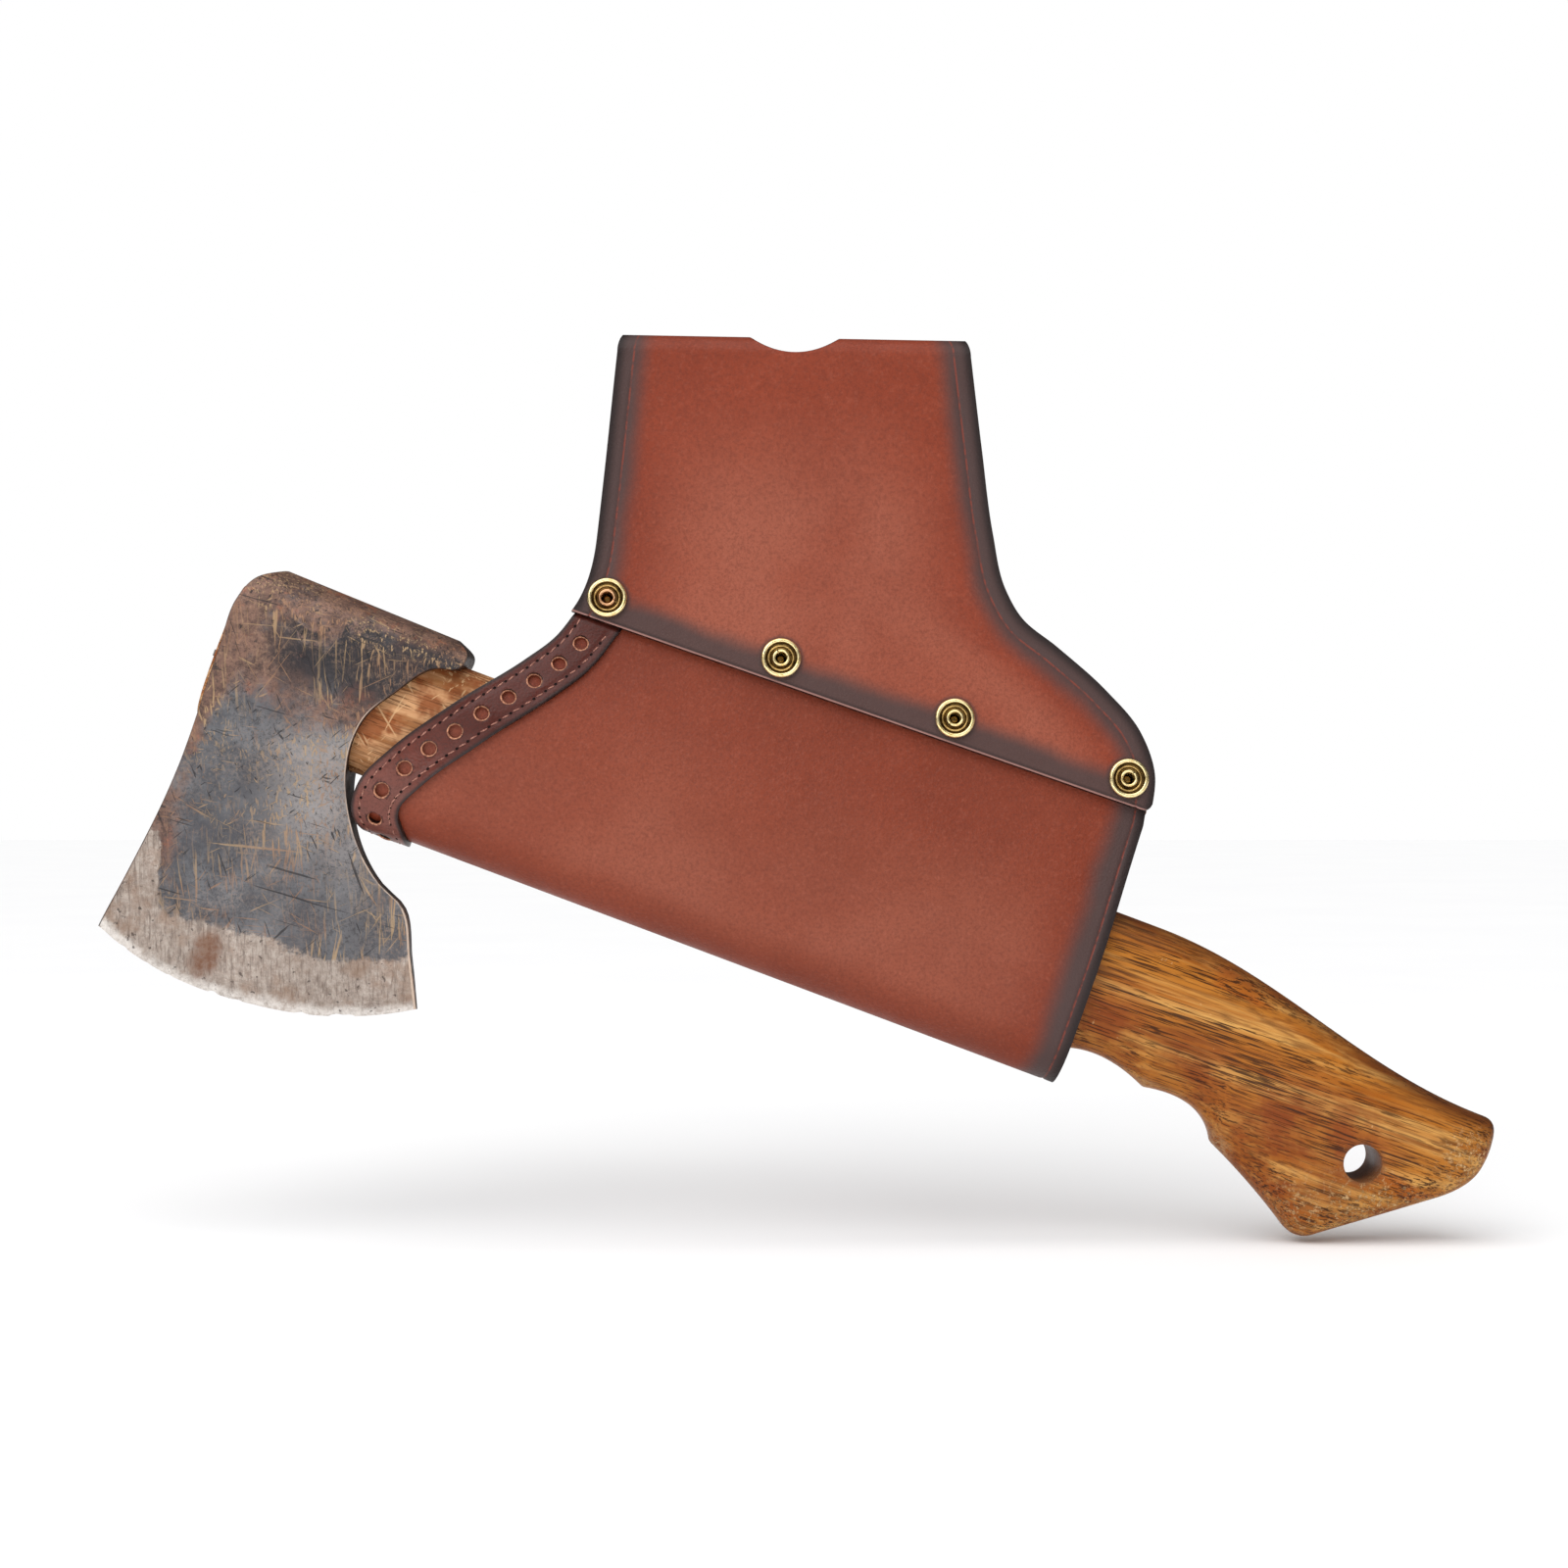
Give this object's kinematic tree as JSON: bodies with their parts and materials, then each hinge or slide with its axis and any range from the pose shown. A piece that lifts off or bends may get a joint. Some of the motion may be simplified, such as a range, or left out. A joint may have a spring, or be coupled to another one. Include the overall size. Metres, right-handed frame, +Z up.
{
  "type": "belt axe with carrier",
  "caption": "Short bearded axe with a curved wooden haft, carried in a leather belt sleeve closed by a snapped flap.",
  "frame": {"origin": "middle of the belt channel's ceiling, where the belt's top edge bears", "axes": "+Z up as worn, +X the way the haft's butt points, along the belt, +Y towards the wearer's body"},
  "size_m": [0.4277, 0.0342, 0.2749],
  "materials": {
    "hide": "satin, burnished edges",
    "strap_hide": "satin",
    "snap_brass": "antique polished",
    "head_steel": "forge scale, bare ground edge",
    "haft_wood": "oiled",
    "wedge_wood": "raw end grain",
    "wedge_steel": "dull"
  },
  "bodies": {
    "carrier": {"back_panel": "hide", "mouth_strap_back": "strap_hide"},
    "flap": {"belt_flap": "hide", "snap_ring_1": "snap_brass", "snap_post_1": "snap_brass", "snap_ring_2": "snap_brass", "snap_post_2": "snap_brass", "snap_ring_3": "snap_brass", "snap_post_3": "snap_brass", "snap_ring_4": "snap_brass", "snap_post_4": "snap_brass"},
    "wrap": {"front_wrap": "hide", "mouth_strap_front": "strap_hide", "snap_stud_1": "snap_brass", "stud_rivet_1": "snap_brass", "snap_stud_2": "snap_brass", "stud_rivet_2": "snap_brass", "snap_stud_3": "snap_brass", "stud_rivet_3": "snap_brass", "snap_stud_4": "snap_brass", "stud_rivet_4": "snap_brass"},
    "axe": {"axe_head": "head_steel", "haft": "haft_wood", "eye_wedge": "wedge_wood", "steel_wedge": "wedge_steel"}
  },
  "joints": [
    {"name": "flap_open", "type": "hinge", "parent": "carrier", "child": "flap", "pos_m": [0, -0.0059, -0.0212], "axis": [-1, 0, 0], "range_deg": [0, 100]},
    {"name": "wrap_open", "type": "hinge", "parent": "carrier", "child": "wrap", "pos_m": [-0.02409, -0.0213, -0.16972], "axis": [0.9364, 0, -0.351], "range_deg": [0, 35]},
    {"name": "axe_draw", "type": "hinge", "parent": "carrier", "child": "axe", "pos_m": [-0.30135, -0.0041, -0.86942], "axis": [0, -1, 0], "range_deg": [0, 28]}
  ],
  "couplings": [
    {"joint": "wrap_open", "follows": "flap_open", "ratio": 0.35}
  ]
}
